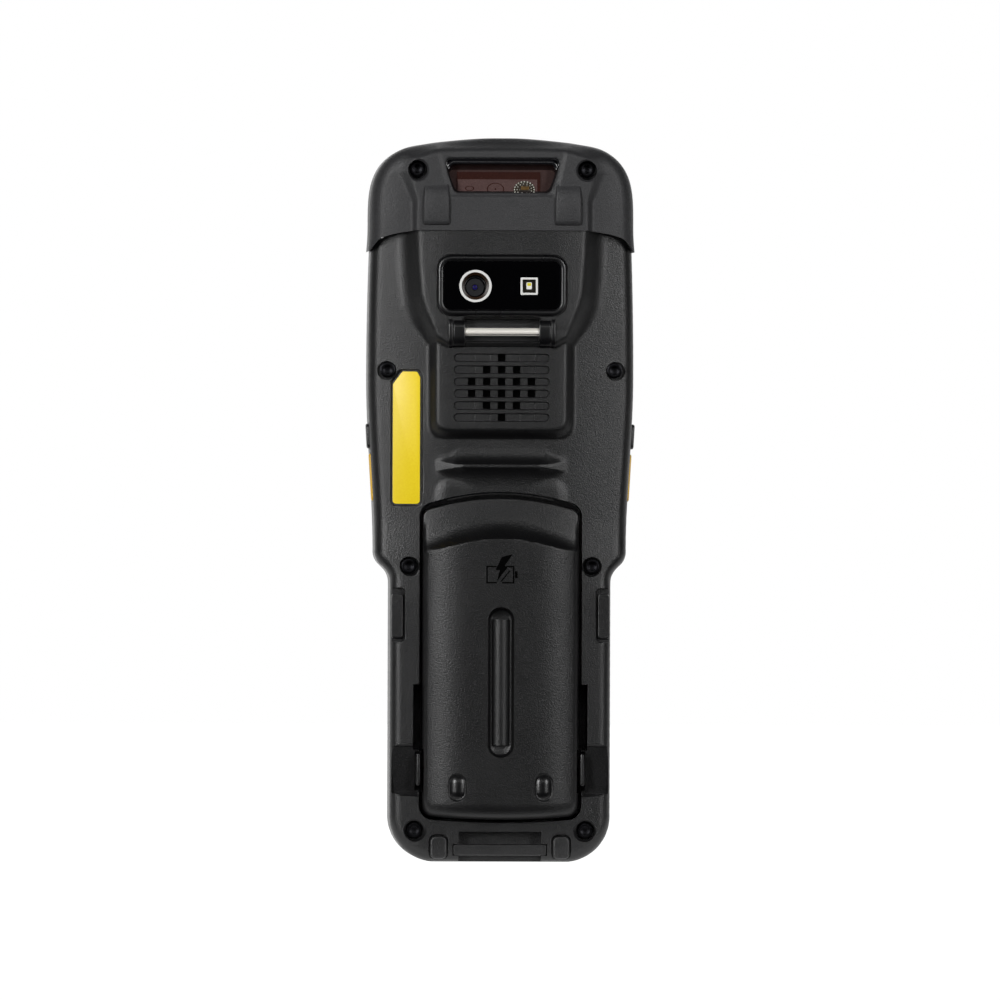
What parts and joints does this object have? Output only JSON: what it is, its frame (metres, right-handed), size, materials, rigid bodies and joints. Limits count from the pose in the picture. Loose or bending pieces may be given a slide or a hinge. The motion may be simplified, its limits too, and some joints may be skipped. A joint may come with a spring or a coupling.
{
  "type": "portable barcode data terminal",
  "caption": "Handheld barcode terminal with a display head, keypad grip, lift-out battery, rear camera, scan window, nose bumper, speaker grille and strap bars.",
  "frame": {"origin": "centre of the bounding box, on the base end that it stands on", "axes": "+Z along the length towards the scan-window end, -Y towards the battery and camera side, +Y towards the display side, +X to the right as seen from the battery side"},
  "size_m": [0.0796, 0.038, 0.214],
  "materials": {
    "cover_plastic": "fine spark texture, charcoal black",
    "battery_plastic": "fine spark texture, charcoal black",
    "bumper_rubber": "matte, slightly lighter grey",
    "black_plastic": "satin black",
    "window_red": "dark red translucent window",
    "window_black": "glossy black window",
    "camera_parts": "white ring round a black lens",
    "led_white": "white reflector, yellow chip",
    "bar_steel": "polished",
    "label_yellow": "blank yellow film",
    "trigger_yellow": "satin yellow",
    "key_plastic": "satin dark grey",
    "screw_black": "black oxide",
    "frame_metal": "cast, satin",
    "board_green": "solder mask",
    "display_glass": "gloss",
    "lcd_face": "unlit display",
    "cell_wrap": "shrink wrap",
    "contact_gold": "gold plated",
    "motor_steel": "plain",
    "speaker_black": "black",
    "switch_grey": "grey",
    "engine_red": "reddish brown",
    "gasket_black": "thin adhesive foam"
  },
  "bodies": {
    "housing": {"rear_cover": "cover_plastic", "front_cover": "cover_plastic", "lower_bar": "cover_plastic", "top_bumper": "bumper_rubber", "camera_bezel": "black_plastic", "side_inserts": "black_plastic", "base_pads": "black_plastic", "dock_connector": "black_plastic", "terminal_block": "black_plastic", "earpiece": "black_plastic", "seam_gasket": "black_plastic", "scan_window": "window_red", "camera_window": "window_black", "camera_module": "camera_parts", "flash_led": "led_white", "strap_bar": "bar_steel", "blank_label": "label_yellow", "housing_screws": "screw_black", "chassis": "frame_metal", "engine_bracket": "frame_metal", "main_board": "board_green", "keypad_board": "board_green", "display_glass": "display_glass", "lcd_module": "lcd_face", "vibration_motor": "motor_steel", "speaker": "speaker_black", "speaker_mesh": "speaker_black", "side_switches": "switch_grey", "dome_sheet": "switch_grey", "scan_engine": "engine_red", "display_gasket": "gasket_black"},
    "battery": {"battery_case": "battery_plastic", "battery_cells": "cell_wrap", "battery_pads": "contact_gold"},
    "latch_left": {"latch_left": "cover_plastic"},
    "latch_right": {"latch_right": "cover_plastic"},
    "side_key_left": {"side_key_left": "black_plastic"},
    "side_key_right": {"side_key_right": "black_plastic"},
    "side_trigger_left": {"side_trigger_left": "trigger_yellow"},
    "side_trigger_right": {"side_trigger_right": "trigger_yellow"},
    "key_scan": {"key_scan": "trigger_yellow"},
    "key_soft_left": {"key_soft_left": "key_plastic"},
    "key_soft_right": {"key_soft_right": "key_plastic"},
    "key_nav": {"key_nav": "key_plastic"},
    "key_back": {"key_back": "key_plastic"},
    "key_enter": {"key_enter": "key_plastic"},
    "key_power": {"key_power": "key_plastic"},
    "key_1": {"key_1": "key_plastic"},
    "key_2": {"key_2": "key_plastic"},
    "key_3": {"key_3": "key_plastic"},
    "key_4": {"key_4": "key_plastic"},
    "key_5": {"key_5": "key_plastic"},
    "key_6": {"key_6": "key_plastic"},
    "key_7": {"key_7": "key_plastic"},
    "key_8": {"key_8": "key_plastic"},
    "key_9": {"key_9": "key_plastic"},
    "key_star": {"key_star": "key_plastic"},
    "key_0": {"key_0": "key_plastic"},
    "key_hash": {"key_hash": "key_plastic"}
  },
  "joints": [
    {"name": "battery_lift", "type": "slide", "parent": "housing", "child": "battery", "axis": [0, -1, 0], "range_m": [0, 0.022]},
    {"name": "latch_left_press", "type": "slide", "parent": "battery", "child": "latch_left", "axis": [1, 0, 0], "range_m": [0, 0.0008], "stiffness_N_per_m": 1500},
    {"name": "side_key_left_press", "type": "slide", "parent": "housing", "child": "side_key_left", "axis": [1, 0, 0], "range_m": [0, 0.0006], "stiffness_N_per_m": 1500},
    {"name": "side_trigger_left_press", "type": "slide", "parent": "housing", "child": "side_trigger_left", "axis": [1, 0, 0], "range_m": [0, 0.0006], "stiffness_N_per_m": 1500},
    {"name": "latch_right_press", "type": "slide", "parent": "battery", "child": "latch_right", "axis": [-1, 0, 0], "range_m": [0, 0.0008], "stiffness_N_per_m": 1500},
    {"name": "side_key_right_press", "type": "slide", "parent": "housing", "child": "side_key_right", "axis": [-1, 0, 0], "range_m": [0, 0.0006], "stiffness_N_per_m": 1500},
    {"name": "side_trigger_right_press", "type": "slide", "parent": "housing", "child": "side_trigger_right", "axis": [-1, 0, 0], "range_m": [0, 0.0006], "stiffness_N_per_m": 1500},
    {"name": "key_scan_press", "type": "slide", "parent": "housing", "child": "key_scan", "axis": [0, -1, 0], "range_m": [0, 0.0007], "stiffness_N_per_m": 1500},
    {"name": "key_soft_left_press", "type": "slide", "parent": "housing", "child": "key_soft_left", "axis": [0, -1, 0], "range_m": [0, 0.0007], "stiffness_N_per_m": 1500},
    {"name": "key_soft_right_press", "type": "slide", "parent": "housing", "child": "key_soft_right", "axis": [0, -1, 0], "range_m": [0, 0.0007], "stiffness_N_per_m": 1500},
    {"name": "key_nav_press", "type": "slide", "parent": "housing", "child": "key_nav", "axis": [0, -1, 0], "range_m": [0, 0.0007], "stiffness_N_per_m": 1500},
    {"name": "key_back_press", "type": "slide", "parent": "housing", "child": "key_back", "axis": [0, -1, 0], "range_m": [0, 0.0007], "stiffness_N_per_m": 1500},
    {"name": "key_enter_press", "type": "slide", "parent": "housing", "child": "key_enter", "axis": [0, -1, 0], "range_m": [0, 0.0007], "stiffness_N_per_m": 1500},
    {"name": "key_power_press", "type": "slide", "parent": "housing", "child": "key_power", "axis": [0, -1, 0], "range_m": [0, 0.0007], "stiffness_N_per_m": 1500},
    {"name": "key_1_press", "type": "slide", "parent": "housing", "child": "key_1", "axis": [0, -1, 0], "range_m": [0, 0.0007], "stiffness_N_per_m": 1500},
    {"name": "key_2_press", "type": "slide", "parent": "housing", "child": "key_2", "axis": [0, -1, 0], "range_m": [0, 0.0007], "stiffness_N_per_m": 1500},
    {"name": "key_3_press", "type": "slide", "parent": "housing", "child": "key_3", "axis": [0, -1, 0], "range_m": [0, 0.0007], "stiffness_N_per_m": 1500},
    {"name": "key_4_press", "type": "slide", "parent": "housing", "child": "key_4", "axis": [0, -1, 0], "range_m": [0, 0.0007], "stiffness_N_per_m": 1500},
    {"name": "key_5_press", "type": "slide", "parent": "housing", "child": "key_5", "axis": [0, -1, 0], "range_m": [0, 0.0007], "stiffness_N_per_m": 1500},
    {"name": "key_6_press", "type": "slide", "parent": "housing", "child": "key_6", "axis": [0, -1, 0], "range_m": [0, 0.0007], "stiffness_N_per_m": 1500},
    {"name": "key_7_press", "type": "slide", "parent": "housing", "child": "key_7", "axis": [0, -1, 0], "range_m": [0, 0.0007], "stiffness_N_per_m": 1500},
    {"name": "key_8_press", "type": "slide", "parent": "housing", "child": "key_8", "axis": [0, -1, 0], "range_m": [0, 0.0007], "stiffness_N_per_m": 1500},
    {"name": "key_9_press", "type": "slide", "parent": "housing", "child": "key_9", "axis": [0, -1, 0], "range_m": [0, 0.0007], "stiffness_N_per_m": 1500},
    {"name": "key_star_press", "type": "slide", "parent": "housing", "child": "key_star", "axis": [0, -1, 0], "range_m": [0, 0.0007], "stiffness_N_per_m": 1500},
    {"name": "key_0_press", "type": "slide", "parent": "housing", "child": "key_0", "axis": [0, -1, 0], "range_m": [0, 0.0007], "stiffness_N_per_m": 1500},
    {"name": "key_hash_press", "type": "slide", "parent": "housing", "child": "key_hash", "axis": [0, -1, 0], "range_m": [0, 0.0007], "stiffness_N_per_m": 1500}
  ]
}
